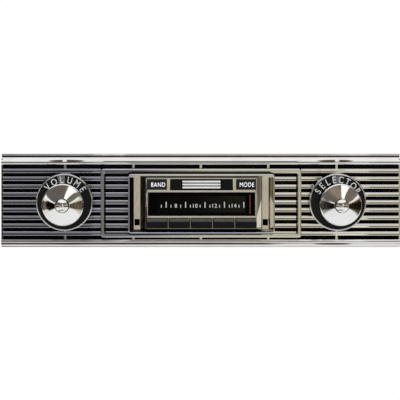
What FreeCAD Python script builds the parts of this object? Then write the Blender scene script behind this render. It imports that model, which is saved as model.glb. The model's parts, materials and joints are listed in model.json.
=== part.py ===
"""Dash-panel car radio with two remote control knobs, in millimetres.

Frame: +X to the right as the driver sees it, +Z up, the front faces -Y.
Origin: the middle of the trim panel on its rear rim, the plane that rests on the dash.
"""
import FreeCAD, Part
import os
from math import cos, sin, pi
from FreeCAD import Vector

os.makedirs("parts", exist_ok=True)

# ---- driving dimensions ----
panel_half_w = 201.3
panel_front_y = -18.0
rim_z = 45.0                     # half height of the rear rim, where the walls have leaned in
rim_wall = 3.0
end_wall = 1.6
end_half_h = 43.8
band_in_z = 37.4                 # moulding: inner edge, crest and outer edge of its convex band
band_crest_z = 40.2
band_out_z = 44.7
band_out_y = -15.2
bead_top_z = 48.6
floor_front_y = -10.0
floor_back_y = -7.0

rib_pitch = 7.88
rib_half = 2.15
rib_round = 0.65                 # rounded front edges of a rib
rib_count = 9
groove_depth = 0.3
web_pitch = 68.0
web_w = 2.2

axis_z = 1.0                     # height of the control and nose centre line
control_x = 136.85               # each knob from the middle
ring_r = 28.5
ring_front_y = -23.0
knob_r = 20.7
knob_rim_y = -35.0
shaft_r = 3.0
bushing_r = 5.0
run_gap = 0.05                   # radial clearance of a running fit
screw_gap = 0.05

insert_half_w = 100.8
insert_top = 34.1
insert_bottom = -34.9
insert_bar = 4.0
insert_top_bar = 4.5
insert_bottom_bar = 3.6
insert_front_y = -21.0
insert_plate_y = -12.5

bezel_half_w = 72.7
bezel_half_h = 29.3
lip_y = -30.0
strip_y = -24.0
strip_t = 2.0

nose_half_w = 54.0
nose_top = 26.7
nose_bottom = -23.8
nose_y = -30.0
sleeve_half_w = 60.5
sleeve_top = 28.2
sleeve_bottom = -26.5
wall = 1.8

dial_half_w = 53.0
dial_top = 12.4
dial_bottom = -11.0
button_row_z0 = -22.8
button_row_z1 = -12.9
preset_pitch = 22.0
preset_travel = 6.0
function_in = 34.4               # BAND and MODE windows, from the middle
function_out = 53.4
function_z0 = 15.2
function_z1 = 25.6
function_travel = 2.0
emblem_half_w = 31.0
emblem_z0 = 14.4
preset_front_y = -35.0

plate_t = 1.5                    # mounting plate
plate_half_w = 166.0
plate_half_h = 35.0
plate_back_y = floor_back_y + plate_t

pointer_x = 48.75                # parked right of the scale
needle_half_w = 0.5
cord_y = 6.0
cord_r = 0.4
cord_loop_r = 6.0
drum_flange_r = 8.0
drum_half_t = 3.0
idler_x = -75.0
rail_y = -0.5
rail_z = 11.6
rail_r = 1.5

chassis_y0 = 14.0
chassis_y1 = 132.0
chassis_half_w = 90.0
chassis_z0 = -26.2
chassis_z1 = 24.0
sheet = 1.2
standoff_x = 82.0
standoff_z = 20.0
preset_back_y = -27.0            # back of each preset cap
spring_wire_r = 0.3
spring_coil_r = 3.1
spring_turns = 6
board_z0 = -18.0
board_t = 1.6
cover_screw_y = (24.0, 73.0, 122.0)
cover_screw_z = 16.0
cable_x = -70.0
cable_z = -14.0
rear_face_y = chassis_y1 + sheet
stud_rear_x = 76.0
stud_rear_z = -12.0
rear_screw_y = chassis_y1 - 5.0
sink_x0 = -78.0
sink_x1 = 22.0
antenna_x = 72.0
antenna_z = 10.0
antenna_bore_r = 4.9
antenna_reach = 14.0             # socket tube behind the rear panel
power_x = 50.0
fuse_x = 40.0


# ---- shape helpers ----
def box(x0, x1, y0, y1, z0, z1):
    return Part.makeBox(x1 - x0, y1 - y0, z1 - z0, Vector(x0, y0, z0))


def cyl_y(x, z, r, y0, y1):
    return Part.makeCylinder(r, y1 - y0, Vector(x, y0, z), Vector(0, 1, 0))


def cyl_z(x, y, r, z0, z1):
    return Part.makeCylinder(r, z1 - z0, Vector(x, y, z0), Vector(0, 0, 1))


def cyl_x(y, z, r, x0, x1):
    return Part.makeCylinder(r, x1 - x0, Vector(x0, y, z), Vector(1, 0, 0))


def rect_wire(half_w, z0, z1, y):
    corners = [(-half_w, z0), (half_w, z0), (half_w, z1), (-half_w, z1), (-half_w, z0)]
    return Part.makePolygon([Vector(x, y, z) for x, z in corners])


def taper(half_w0, a0, b0, y0, half_w1, a1, b1, y1):
    return Part.makeLoft([rect_wire(half_w0, a0, b0, y0), rect_wire(half_w1, a1, b1, y1)], True, True)


def round_box(half_w, z0, z1, r, y0, y1):
    """A block along Y with its four long edges rounded."""
    block = box(-half_w, half_w, y0, y1, z0, z1)
    edges = [e for e in block.Edges if abs(e.Vertexes[0].Y - e.Vertexes[1].Y) > 1e-6]
    return block.makeFillet(r, edges)


def outline_face(steps):
    """Closed face in the YZ plane. A step is (y, z), or (y, z, via_y, via_z) for an arc."""
    edges = []
    last = Vector(0, steps[0][0], steps[0][1])
    for step in steps[1:] + steps[:1]:
        point = Vector(0, step[0], step[1])
        if len(step) == 4:
            edges.append(Part.Arc(last, Vector(0, step[2], step[3]), point).toShape())
        elif (point - last).Length > 1e-9:
            edges.append(Part.makeLine(last, point))
        last = point
    return Part.Face(Part.Wire(edges))


def along_x(face, x0, x1):
    shape = face.extrude(Vector(x1 - x0, 0, 0))
    shape.translate(Vector(x0, 0, 0))
    return shape


def turned(steps, x, z):
    """Solid of revolution about the Y axis. Steps are (r, y), or (r, y, via_r, via_y) for an arc."""
    edges = []
    last = Vector(steps[0][0], steps[0][1], 0)
    for step in steps[1:] + steps[:1]:
        point = Vector(step[0], step[1], 0)
        if len(step) == 4:
            edges.append(Part.Arc(last, Vector(step[2], step[3], 0), point).toShape())
        elif (point - last).Length > 1e-9:
            edges.append(Part.makeLine(last, point))
        last = point
    solid = Part.Face(Part.Wire(edges)).revolve(Vector(0, 0, 0), Vector(0, 1, 0), 360)
    solid.translate(Vector(x, 0, z))
    return solid


def hexagon_y(x, z, across_flats, y0, y1):
    r = across_flats / 2 / cos(pi / 6)
    points = [Vector(x + r * cos(i * pi / 3), y0, z + r * sin(i * pi / 3)) for i in range(7)]
    return Part.Face(Part.makePolygon(points)).extrude(Vector(0, y1 - y0, 0))


def wire_run(points, r):
    """Round cable along straight runs with its corners rounded."""
    bend = r * 3
    edges = []
    start = Vector(*points[0])
    for i in range(1, len(points) - 1):
        corner = Vector(*points[i])
        into = (Vector(*points[i - 1]) - corner).normalize()
        out = (Vector(*points[i + 1]) - corner).normalize()
        a = corner + into * bend
        b = corner + out * bend
        mid = corner + (into + out).normalize() * (bend * 0.4142 * 0.9)
        edges.append(Part.makeLine(start, a))
        edges.append(Part.Arc(a, mid, b).toShape())
        start = b
    edges.append(Part.makeLine(start, Vector(*points[-1])))
    path = Part.Wire(edges)
    first = Vector(*points[0])
    section = Part.Wire(Part.makeCircle(r, first, Vector(*points[1]) - first))
    return path.makePipeShell([section], True, True)


def fuse(shapes):
    return shapes[0].multiFuse(shapes[1:]).removeSplitter() if len(shapes) > 1 else shapes[0]


def cut(base, tools):
    return base.cut(Part.makeCompound(tools)) if tools else base


def save(name, shapes):
    """One node: a single solid, or a group of separate solids."""
    solids = []
    for shape in shapes if isinstance(shapes, list) else [shapes]:
        solids += shape.Solids
    node = solids[0] if len(solids) == 1 else Part.makeCompound(solids)
    if not node.isValid():
        print("not valid:", name)
    node.exportStep("parts/" + name + ".step")


# ---- positions that several pieces share ----
rib_z = [rib_pitch * (i - (rib_count - 1) / 2) for i in range(rib_count)]
sides = (-1, 1)
controls = {"volume": -control_x, "selector": control_x}
panel_screws = [(s * x, t * rib_z[-1]) for s in sides for t in sides for x in (112.0, 160.0)]
insert_screws = [(s * 93.5, t * rib_z[5]) for s in sides for t in sides]
nose_screws = [(s * 63.4, t * 20.0 + axis_z) for s in sides for t in sides]
bezel_screws = [(s * 69.0, t * 24.0 + axis_z) for s in sides for t in sides]
standoffs = [(s * standoff_x, t * standoff_z) for s in sides for t in sides]
housing_screws = [(s * 64.5, 0.0) for s in sides]
guide_screws = [(s * 63.4, -27.5) for s in sides]
stud_x = 185.0
stud_z = 30.0
stud_r = 2.5
stud_end_y = 16.0
preset_x = [preset_pitch * i for i in (-2, -1, 0, 1, 2)]
preset_z = (button_row_z0 + button_row_z1) / 2
function_x = (function_in + function_out) / 2
function_mid_z = (function_z0 + function_z1) / 2
board_screws = [(s * 78.0, y) for s in sides for y in (28.0, 118.0)]
rear_screws = [(s, z) for s in sides for z in (-20.0, 2.0)]
sink_screws = [(x, z) for x in (-72.0, 16.0) for z in (-17.0, 15.0)]


def screw(x, z, r, head_r, head_y, head_t, tip_y):
    """Screw along Y. Its head lies between head_y and head_y + head_t, on the side away from the tip."""
    y0, y1 = sorted((head_y, head_y + head_t))
    head = cyl_y(x, z, head_r, y0, y1)
    shank_y = head_y
    s0, s1 = sorted((shank_y, tip_y))
    shank = cyl_y(x, z, r, s0, s1)
    outer = y1 if head_t > 0 else y0
    slot_y = (outer - 0.5, outer) if head_t > 0 else (outer, outer + 0.5)
    slot = box(x - head_r, x + head_r, slot_y[0], slot_y[1], z - 0.25, z + 0.25)
    return fuse([head, shank]).cut(slot)


# ---- trim panel and what sits on it ----
def moulding(profile):
    """Level moulding along the whole panel, from its outline in the YZ plane."""
    return along_x(outline_face(profile), -panel_half_w, panel_half_w)


def band(t):
    """Convex band of a moulding, from its outer edge to its inner edge. t is 1 at the top, -1 at the bottom."""
    y = panel_front_y
    return [
        (band_out_y, t * band_out_z), (y, t * band_crest_z, y + 1.15, t * (band_crest_z + 2.4)),
        (y + 1.6, t * band_in_z, y + 0.35, t * (band_crest_z - 1.7)),
        (floor_back_y, t * band_in_z), (floor_back_y, t * (rim_z - rim_wall)), (0, t * (rim_z - rim_wall)),
    ]


def top_moulding():
    """Leaning top wall, small round bead, groove, then the band."""
    outer = [
        (0, rim_z), (-14.2, bead_top_z), (-15.4, bead_top_z - 0.9, -15.1, bead_top_z - 0.2),
        (-15.4, bead_top_z - 1.3), (-14.6, bead_top_z - 2.1, -15.2, bead_top_z - 1.9),
        (-14.6, band_out_z + 0.5),
    ]
    return moulding(outer + band(1))


def bottom_moulding():
    """The same band with a plain rounded lower lip."""
    lip_z = -band_out_z - 1.5
    return moulding([(0, -rim_z), (-14.3, lip_z), (band_out_y, lip_z + 0.9, -15.0, lip_z + 0.25)] + band(-1))


def rib(z, x0, x1, base_y):
    """Rib with a rounded front edge above and below a shallow groove."""
    y = panel_front_y
    edge = rib_half - rib_round
    bulge = rib_half - rib_round * 0.3
    steps = [
        (base_y, z - rib_half), (y + 0.7, z - rib_half), (y, z - edge, y + 0.2, z - bulge),
        (y, z - edge + 0.3), (y, z + edge - 0.3, y + groove_depth, z), (y, z + edge),
        (y + 0.7, z + rib_half, y + 0.2, z + bulge), (base_y, z + rib_half),
    ]
    return along_x(outline_face(steps), x0, x1)


def trim_panel():
    inside = panel_half_w - end_wall
    solids = [top_moulding(), bottom_moulding()]
    solids.append(box(-panel_half_w, panel_half_w, floor_front_y, floor_back_y, -38, 38))
    ribs = [rib(z, -inside, inside, floor_front_y) for z in rib_z]
    for s in sides:
        x0, x1 = sorted((s * inside, s * panel_half_w))
        solids.append(box(x0, x1, panel_front_y + 1.0, 0, -end_half_h, end_half_h))
    for t in sides:
        for x in (-control_x, control_x):
            z0, z1 = sorted((t * 28.5, t * (band_in_z + 0.5)))
            ribs.append(box(x - web_w / 2, x + web_w / 2, panel_front_y + 0.8, floor_front_y, z0, z1))
        for x in (-web_pitch, 0, web_pitch):
            z0, z1 = sorted((t * 33.5, t * (band_in_z + 0.5)))
            ribs.append(box(x - web_w / 2, x + web_w / 2, panel_front_y + 0.8, floor_front_y, z0, z1))
    pocket = [box(-insert_half_w - 0.2, insert_half_w + 0.2, -30, floor_front_y,
                  insert_bottom - 0.1, insert_top + 0.1)]
    pocket += [cyl_y(x, axis_z, ring_r + 0.1, -30, floor_front_y) for x in controls.values()]
    solids += [cut(r, pocket) for r in ribs]
    for x in (-stud_x, stud_x):
        for z in (-stud_z, stud_z):
            solids.append(cyl_y(x, z, 5.0, floor_back_y - 0.5, -3.0))
            solids.append(cyl_y(x, z, stud_r, floor_back_y - 0.5, stud_end_y))
    holes = [box(-88.5, 88.5, -12, 0, -31.6, 31.6)]
    holes += [cyl_y(x, axis_z, 6.0, -12, 0) for x in controls.values()]
    holes += [cyl_y(x, z, 1.5 + screw_gap, -15.0, 0) for x, z in panel_screws]
    holes += [cyl_y(x, z, 1.6, -12, 0) for x, z in insert_screws]
    return cut(fuse(solids), holes)


def insert_plate():
    """Raised rectangular moulding with its own short ribs on both sides of the nose."""
    base = round_box(insert_half_w, insert_bottom, insert_top, 3.0, insert_plate_y, floor_front_y)
    outer = round_box(insert_half_w, insert_bottom, insert_top, 3.0, insert_front_y, insert_plate_y)
    inner_w = insert_half_w - insert_bar
    inner_z0 = insert_bottom + insert_bottom_bar
    inner_z1 = insert_top - insert_top_bar
    hole = round_box(inner_w, inner_z0, inner_z1, 1.2, insert_front_y - 1, insert_plate_y)
    frame = outer.cut(hole)
    front = [e for e in frame.Edges if all(abs(v.Y - insert_front_y) < 1e-6 for v in e.Vertexes)]
    frame = frame.makeFillet(1.1, front)
    ribs = []
    for z in rib_z[:-1]:
        for s in sides:
            x0, x1 = sorted((s * (bezel_half_w + 0.3), s * (inner_w - 0.8)))
            ribs.append(rib(z, x0, x1, insert_plate_y))
    clip = box(-120, 120, -30, 0, inner_z0 - 0.01, inner_z1)
    ribs = [r.common(clip) for r in ribs]
    bezel_seat = box(-bezel_half_w - 0.1, bezel_half_w + 0.1, -30, insert_plate_y,
                     axis_z - bezel_half_h - 0.1, axis_z + bezel_half_h + 0.1)
    holes = [bezel_seat, box(-61.6, 61.6, -20, 0, -27.2, 29.0)]
    holes += [cyl_y(x, z, 1.5 + screw_gap, -16.5, 0) for x, z in insert_screws]
    holes += [cyl_y(x, z, 1.6, -20, 0) for x, z in bezel_screws]
    return cut(fuse([base, frame] + ribs), holes)


def bezel():
    """Chrome surround: thin lip, slanting inner wall, flat side strips with a square port in each."""
    z0, z1 = axis_z - bezel_half_h, axis_z + bezel_half_h
    body = round_box(bezel_half_w, z0, z1, 3.0, lip_y, insert_plate_y)
    lip_edges = [e for e in body.Edges if all(abs(v.Y - lip_y) < 1e-6 for v in e.Vertexes)]
    body = body.makeFillet(0.7, lip_edges)
    strip_z0 = sleeve_bottom - 0.3
    strip_z1 = sleeve_top + 0.3
    dish = taper(bezel_half_w - 1.3, z0 + 1.2, z1 - 3.1, lip_y - 0.1,
                 67.4, strip_z0, strip_z1, strip_y)
    through = box(-sleeve_half_w - 0.2, sleeve_half_w + 0.2, lip_y, 0, strip_z0, strip_z1)
    hollow = box(-bezel_half_w + 1.8, bezel_half_w - 1.8, strip_y + strip_t, 0, z0 + 1.8, z1 - 1.8)
    tools = [dish, through, hollow]
    port_z = -18.6
    for s in sides:
        x0, x1 = sorted((s * 61.5, s * 66.5))
        tools.append(box(x0, x1, strip_y - 1, strip_y + strip_t + 1, port_z - 3.1, port_z + 3.1))
    body = cut(body, tools)
    bosses = []
    for x, z in bezel_screws:
        bosses.append(cyl_y(x, z, 2.2, strip_y + 0.5, insert_plate_y))
    body = fuse([body] + bosses)
    return cut(body, [cyl_y(x, z, 1.5 + screw_gap, -20.5, 0) for x, z in bezel_screws])


# ---- nose ----
def nose_frame():
    front = taper(nose_half_w, nose_bottom, nose_top, nose_y, sleeve_half_w, sleeve_bottom, sleeve_top, strip_y)
    sleeve = box(-sleeve_half_w, sleeve_half_w, strip_y, floor_back_y, sleeve_bottom, sleeve_top)
    flange = box(-66.5, 66.5, -9.0, floor_back_y, -29.5, 31.0)
    body = fuse([front, sleeve, flange])
    face_back = nose_y + wall
    cavity = taper(nose_half_w + 0.9, nose_bottom + 0.2, nose_top - 0.8, face_back,
                   sleeve_half_w - wall, sleeve_bottom + wall, sleeve_top - wall, strip_y)
    rear = box(-sleeve_half_w + wall, sleeve_half_w - wall, strip_y, 0, sleeve_bottom + wall, sleeve_top - wall)
    tools = [cavity, rear]
    tools.append(box(-dial_half_w, dial_half_w, -31, face_back, dial_bottom, dial_top))
    tools.append(box(-emblem_half_w, emblem_half_w, -31, face_back, emblem_z0, function_z1))
    for s in sides:
        x0, x1 = sorted((s * function_in, s * function_out))
        tools.append(box(x0, x1, -31, face_back, function_z0, function_z1))
    for x in preset_x:
        tools.append(box(x - 10.3, x + 10.3, -31, face_back, button_row_z0, button_row_z1))
    tools += [cyl_y(x, z, 1.5 + screw_gap, -20, 0) for x, z in nose_screws]
    return cut(body, tools)


def dial_lens():
    window = box(-dial_half_w + 0.2, dial_half_w - 0.2, -29.5, -28.2, dial_bottom + 0.2, dial_top - 0.2)
    flange = box(-54.0, 54.0, -28.2, -27.2, dial_bottom - 0.9, dial_top + 0.8)
    return fuse([window, flange])


def dial_plate():
    return box(-56.5, 56.5, -20.5, -19.5, -11.8, 12.8)


def dial_housing():
    """Light box behind the dial, with two ears on the mounting plate and two lugs for the upper board."""
    y0 = -19.5
    tube = box(-56.5, 56.5, y0, -4.0, -11.8, 12.8)
    tube = tube.cut(box(-55.0, 55.0, y0, -5.5, -10.3, 11.3))
    ears = []
    for s in sides:
        x0, x1 = sorted((s * 56.0, s * 69.0))
        ears.append(box(x0, x1, plate_back_y, -4.0, -6, 6))
        x0, x1 = sorted((s * 53.5, s * 56.5))
        ears.append(box(x0, x1, -14.4, -12.9, 12.0, 26.0))
    holes = [cyl_y(x, z, 1.6, -10, 0) for x, z in housing_screws]
    holes += [cyl_y(x, 0.0, 3.0, -7, 0) for x in (-30.0, 30.0)]
    return cut(fuse([tube] + ears), holes)


def dial_lamps():
    """Two bayonet lamps: a metal cap in the housing's rear wall and a glass bulb."""
    lamps = []
    for x in (-30.0, 30.0):
        cap = turned([(0, -8.0), (0, 2.0), (2.95, 2.0), (2.95, -7.0), (2.4, -8.0)], x, 0.0)
        bulb = Part.makeSphere(2.7, Vector(x, -10.0, 0.0))
        lamps.append(fuse([cap, bulb]))
    return lamps


def emblem_plate():
    plate = box(-emblem_half_w + 0.15, emblem_half_w - 0.15, -29.2, -28.2, emblem_z0 + 0.15, function_z1 - 0.15)
    flange = box(-32.4, 32.4, -28.2, -27.4, 13.4, 25.8)
    return fuse([plate, flange])


def emblem_bars():
    """Plain ornament: three level bars with round ends, standing on the plate."""
    bars = []
    for z in (-2.9, 0.0, 2.9):
        middle = function_mid_z + z - 0.25
        bar = box(-18.0, 18.0, -29.9, -29.2, middle - 0.9, middle + 0.9)
        ends = [cyl_y(x, middle, 0.9, -29.9, -29.2) for x in (-18.0, 18.0)]
        bars.append(fuse([bar] + ends))
    return bars


def function_button(s):
    """Upper push-button with a flange behind the window and a stem."""
    x0, x1 = sorted((s * (function_in + 0.2), s * (function_out - 0.2)))
    cap = box(x0, x1, -30.8, -27.0, function_z0 + 0.2, function_z1 - 0.2)
    edges = [e for e in cap.Edges if all(abs(v.Y + 30.8) < 1e-6 for v in e.Vertexes)]
    cap = cap.makeFillet(0.5, edges)
    flange = box(x0 - 0.35, x1 + 0.35, -28.1, -27.0, function_z0 - 0.5, function_z1 + 0.15)
    stem = cyl_y(s * function_x, function_mid_z, 1.5, -27.5, -20.3)
    return fuse([cap, flange, stem])


def function_board():
    return box(-56.4, 56.4, -16.0, -14.4, 15.2, 26.0)


def function_switches():
    return [box(s * function_x - 3, s * function_x + 3, -18.2, -16.0, function_mid_z - 3, function_mid_z + 3)
            for s in sides]


def preset_button(x):
    """Lower push-button: deep cap with a slanted top, back flange and long stem."""
    z0, z1 = button_row_z0 + 0.2, button_row_z1 - 0.2
    front = preset_front_y
    steps = [(preset_back_y, z0), (front, z0 + 0.6), (front, z1 - 2.8), (front + 3.6, z1 - 0.3), (preset_back_y, z1)]
    cap = along_x(outline_face(steps), x - 10.1, x + 10.1)
    edges = [e for e in cap.Edges if any(abs(v.Y - front) < 1e-6 for v in e.Vertexes)
             and abs(e.Vertexes[0].X - e.Vertexes[1].X) < 1e-6]
    cap = cap.makeFillet(0.5, edges)
    flange = box(x - 10.6, x + 10.6, -28.1, -27.0, z0 - 0.7, z1 + 0.4)
    stem = cyl_y(x, preset_z, 2.0, -27.5, 2.0)
    return fuse([cap, flange, stem])


def preset_spring(x):
    """Return spring round a preset stem, from the cap to the guide. The wire has six flats."""
    y0 = preset_back_y + spring_wire_r + 0.02
    y1 = plate_back_y - spring_wire_r - 0.02
    pitch = (y1 - y0) / spring_turns
    steps_per_turn = 12
    sections = []
    for i in range(spring_turns * steps_per_turn + 1):
        angle = 2 * pi * i / steps_per_turn
        radial = Vector(cos(angle), 0, sin(angle))
        along = Vector(-sin(angle) * spring_coil_r, pitch / (2 * pi), cos(angle) * spring_coil_r).normalize()
        across = along.cross(radial)
        centre = Vector(x, y0 + pitch * i / steps_per_turn, preset_z) + radial * spring_coil_r
        corners = []
        for k in range(7):
            turn = k * pi / 3
            corners.append(centre + radial * (spring_wire_r * cos(turn)) + across * (spring_wire_r * sin(turn)))
        sections.append(Part.makePolygon(corners))
    return Part.makeLoft(sections, True, True)


def button_guide():
    plate = box(-66.5, 66.5, plate_back_y, -3.5, -31.0, -12.6)
    holes = [cyl_y(x, preset_z, 2.0 + run_gap, -10, 0) for x in preset_x]
    holes += [cyl_y(x, z, 1.6, -10, 0) for x, z in guide_screws]
    holes += [cyl_y(x, z, 2.8, -10, 0) for x, z in nose_screws if z < 0]
    return cut(plate, holes)


def preset_board():
    board = box(-58.0, 58.0, 10.6, 12.2, -24.0, -11.0)
    spacers = [cyl_y(x, preset_z, 2.5, 12.2, chassis_y0) for x in (-54.5, 54.5)]
    return fuse([board] + spacers)


def preset_switches():
    return [box(x - 3, x + 3, 8.2, 10.6, preset_z - 3, preset_z + 3) for x in preset_x]


# ---- controls ----
def control_ring(x):
    """Round escutcheon: bright rim, flat face and a deep well round the bushing."""
    y = ring_front_y
    steps = [
        (bushing_r + 0.2, floor_front_y), (bushing_r + 0.2, -12.0), (13.0, -12.0), (13.0, y + 1.0),
        (26.8, y + 1.0), (27.2, y + 0.3), (28.0, y, 27.5, y), (ring_r, y + 0.7, 28.35, y + 0.2),
        (ring_r, floor_front_y), (26.7, floor_front_y), (26.7, y + 2.6), (14.6, y + 2.6), (14.6, floor_front_y),
    ]
    return turned(steps, x, axis_z)


def control_knob(x):
    """Knob: rounded rim, low cone and a domed boss with a groove round its foot."""
    y = knob_rim_y
    steps = [
        (0, -36.0), (0, -42.6), (6.2, -40.0, 4.0, -41.62), (6.5, -38.6), (7.1, -38.6),
        (19.4, y - 0.5), (knob_r, y + 0.9, 20.4, y + 0.05),
        (19.0, -25.0), (18.2, -24.2), (16.5, -24.2), (15.5, -33.0), (6.2, -33.0), (6.2, -24.8),
        (shaft_r + 0.02, -24.8), (shaft_r + 0.02, -36.0),
    ]
    return turned(steps, x, axis_z)


def control_shaft(x, end_y):
    shaft = cyl_y(x, axis_z, shaft_r, -35.8, end_y)
    return shaft.cut(box(x - 5, x + 5, -36, -26, axis_z + 2.2, axis_z + 5))


def control_nut(x):
    return hexagon_y(x, axis_z, 14.0, -15.8, -12.8).cut(cyl_y(x, axis_z, bushing_r + screw_gap, -20, 0))


def control_washer(x):
    return cyl_y(x, axis_z, 8.0, -12.8, -12.0).cut(cyl_y(x, axis_z, bushing_r + 0.1, -20, 0))


def volume_control():
    """Potentiometer: threaded bushing, round case and three terminals."""
    x = -control_x
    case = cyl_y(x, axis_z, 12.0, plate_back_y, 6.0)
    bushing = cyl_y(x, axis_z, bushing_r, -16.5, plate_back_y + 0.5)
    cap = cyl_y(x, axis_z, 10.0, 6.0, 9.0)
    tag_plate = box(x - 8, x + 8, plate_back_y + 2, plate_back_y + 4, axis_z - 16, axis_z - 8)
    body = fuse([case, bushing, cap, tag_plate])
    return body.cut(cyl_y(x, axis_z, shaft_r + run_gap, -20, -2.9))


def selector_bearing():
    x = control_x
    body = fuse([cyl_y(x, axis_z, 11.0, plate_back_y, 1.5), cyl_y(x, axis_z, bushing_r, -16.5, plate_back_y + 0.5)])
    return body.cut(cyl_y(x, axis_z, shaft_r + run_gap, -20, 5))


# ---- dial drive ----
def grooved_wheel(x, bore_r):
    a, b = cord_y - drum_half_t, cord_y + drum_half_t
    groove_r = cord_loop_r - cord_r - 0.05
    steps = [
        (bore_r, a), (drum_flange_r, a), (drum_flange_r, a + 1.2), (groove_r, cord_y - 0.6),
        (groove_r, cord_y + 0.6), (drum_flange_r, b - 1.2), (drum_flange_r, b), (bore_r, b),
    ]
    return turned(steps, x, axis_z)


def idler_pin():
    """Fixed pin with a collar on the mounting plate and a head behind the pulley."""
    rear = cord_y + drum_half_t
    pin = cyl_y(idler_x, axis_z, 1.5, plate_back_y, rear + 1.2)
    collar = cyl_y(idler_x, axis_z, 3.0, plate_back_y, cord_y - drum_half_t - 0.1)
    head = cyl_y(idler_x, axis_z, 2.6, rear + 0.1, rear + 1.2)
    return fuse([pin, collar, head])


def dial_cord():
    """Closed loop of cord round the drum and the idler pulley."""
    runs = [cyl_x(cord_y, axis_z + t * cord_loop_r, cord_r, idler_x, control_x) for t in sides]
    for x, start in ((idler_x, 90), (control_x, -90)):
        ring = Part.makeTorus(cord_loop_r, cord_r, Vector(x, cord_y, axis_z), Vector(0, 1, 0))
        x0, x1 = sorted((x, x + (-20 if start > 0 else 20)))
        runs.append(ring.common(box(x0, x1, 0, 12, -20, 20)))
    return fuse(runs)


def carriage_rail():
    return cyl_x(rail_y, rail_z, rail_r, -64.0, 64.0)


def rail_brackets():
    brackets = []
    for s in sides:
        x0, x1 = sorted((s * 61.7, s * 64.0))
        arm = box(x0, x1, plate_back_y, 2.5, 8.0, 15.5)
        brackets.append(arm.cut(cyl_x(rail_y, rail_z, rail_r, x0 - 1, x1 + 1)))
    return brackets


def pointer_carriage():
    """Slider on the rail, clamped to the upper run of the cord, with an arm over the light box."""
    x = pointer_x
    block = box(x - 5, x + 5, -3.3, 8.4, 5.0, 14.2)
    arm = box(x - 2.5, x + 2.5, -23.5, -3.0, 13.1, 14.2)
    tools = [cyl_x(rail_y, rail_z, rail_r + run_gap, x - 6, x + 6)]
    tools.append(cyl_x(cord_y, axis_z + cord_loop_r, cord_r + 0.1, x - 6, x + 6))
    return cut(fuse([block, arm]), tools)


def pointer():
    x = pointer_x
    needle = box(x - needle_half_w, x + needle_half_w, -24.5, -23.5, -10.3, 13.5)
    head = box(x - 2.5, x + 2.5, -24.5, -23.5, 12.8, 14.2)
    return fuse([needle, head])


# ---- mounting plate and chassis ----
def mounting_plate():
    plate = box(-plate_half_w, plate_half_w, floor_back_y, plate_back_y, -plate_half_h, plate_half_h)
    holes = [box(-61.5, 61.5, -10, 0, -26.0, 28.0)]
    holes += [cyl_y(x, axis_z, bushing_r + 0.1, -10, 0) for x in controls.values()]
    holes += [cyl_y(x, z, 1.6, -10, 0) for x, z in panel_screws + nose_screws + standoffs]
    holes += [cyl_y(x, z, 1.5 + screw_gap, -10, 0) for x, z in housing_screws + guide_screws]
    holes += [cyl_y(x, z, 3.4, -10, 0) for x, z in insert_screws]
    return cut(plate, holes)


def standoff(x, z):
    return cyl_y(x, z, 3.5, plate_back_y, chassis_y0).cut(
        Part.makeCompound([cyl_y(x, z, 1.5 + screw_gap, plate_back_y, 3.0), cyl_y(x, z, 1.5 + screw_gap, 7.0, 14.0)]))


def chassis_tray():
    """Folded tray: front wall, floor and two sides, open at the top and the back."""
    w = chassis_half_w
    outer = box(-w, w, chassis_y0, chassis_y1, chassis_z0, chassis_z1)
    inner = box(-w + sheet, w - sheet, chassis_y0 + sheet, chassis_y1 + 1, chassis_z0 + sheet, chassis_z1 + 1)
    tray = outer.cut(inner)
    posts = [cyl_z(x, y, 3.0, chassis_z0 + sheet, board_z0) for x, y in board_screws]
    tray = fuse([tray] + posts)
    holes = [cyl_y(x, z, 1.6, 10, 20) for x, z in standoffs]
    holes += [cyl_z(x, y, 1.25 + screw_gap, -24.0, board_z0) for x, y in board_screws]
    holes.append(cyl_y(cable_x, cable_z, 3.4, 10, 20))
    for x in (-54.5, 54.5):
        holes.append(cyl_y(x, preset_z, 1.3, 10, 20))
    for s in sides:
        for y in cover_screw_y:
            x0, x1 = sorted((s * (w - 5), s * (w + 5)))
            holes.append(cyl_x(y, cover_screw_z, 1.5 + screw_gap, x0, x1))
        for i in range(6):
            holes.append(box(x0, x1, 45.0 + i * 9, 49.0 + i * 9, -14.0, 4.0))
    for s, z in rear_screws:
        holes.append(cyl_x(rear_screw_y, z, 1.6, *sorted((s * 80, s * 95))))
    return cut(tray, holes)


def chassis_cover():
    """Lid with turned-down sides and rows of cooling slots."""
    w = chassis_half_w
    top = box(-w - sheet, w + sheet, chassis_y0, chassis_y1, chassis_z1, chassis_z1 + sheet)
    skirts = []
    for s in sides:
        x0, x1 = sorted((s * w, s * (w + sheet)))
        skirts.append(box(x0, x1, chassis_y0, chassis_y1, 8.0, chassis_z1 + 0.5))
    holes = []
    for s in sides:
        for y in cover_screw_y:
            x0, x1 = sorted((s * (w - 5), s * (w + 5)))
            holes.append(cyl_x(y, cover_screw_z, 1.6, x0, x1))
        for i in range(9):
            x = s * 12.0 + s * i * 8.0
            holes.append(box(x - 1.5, x + 1.5, 78.0, 118.0, 20, 30))
    return cut(fuse([top] + skirts), holes)


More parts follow.
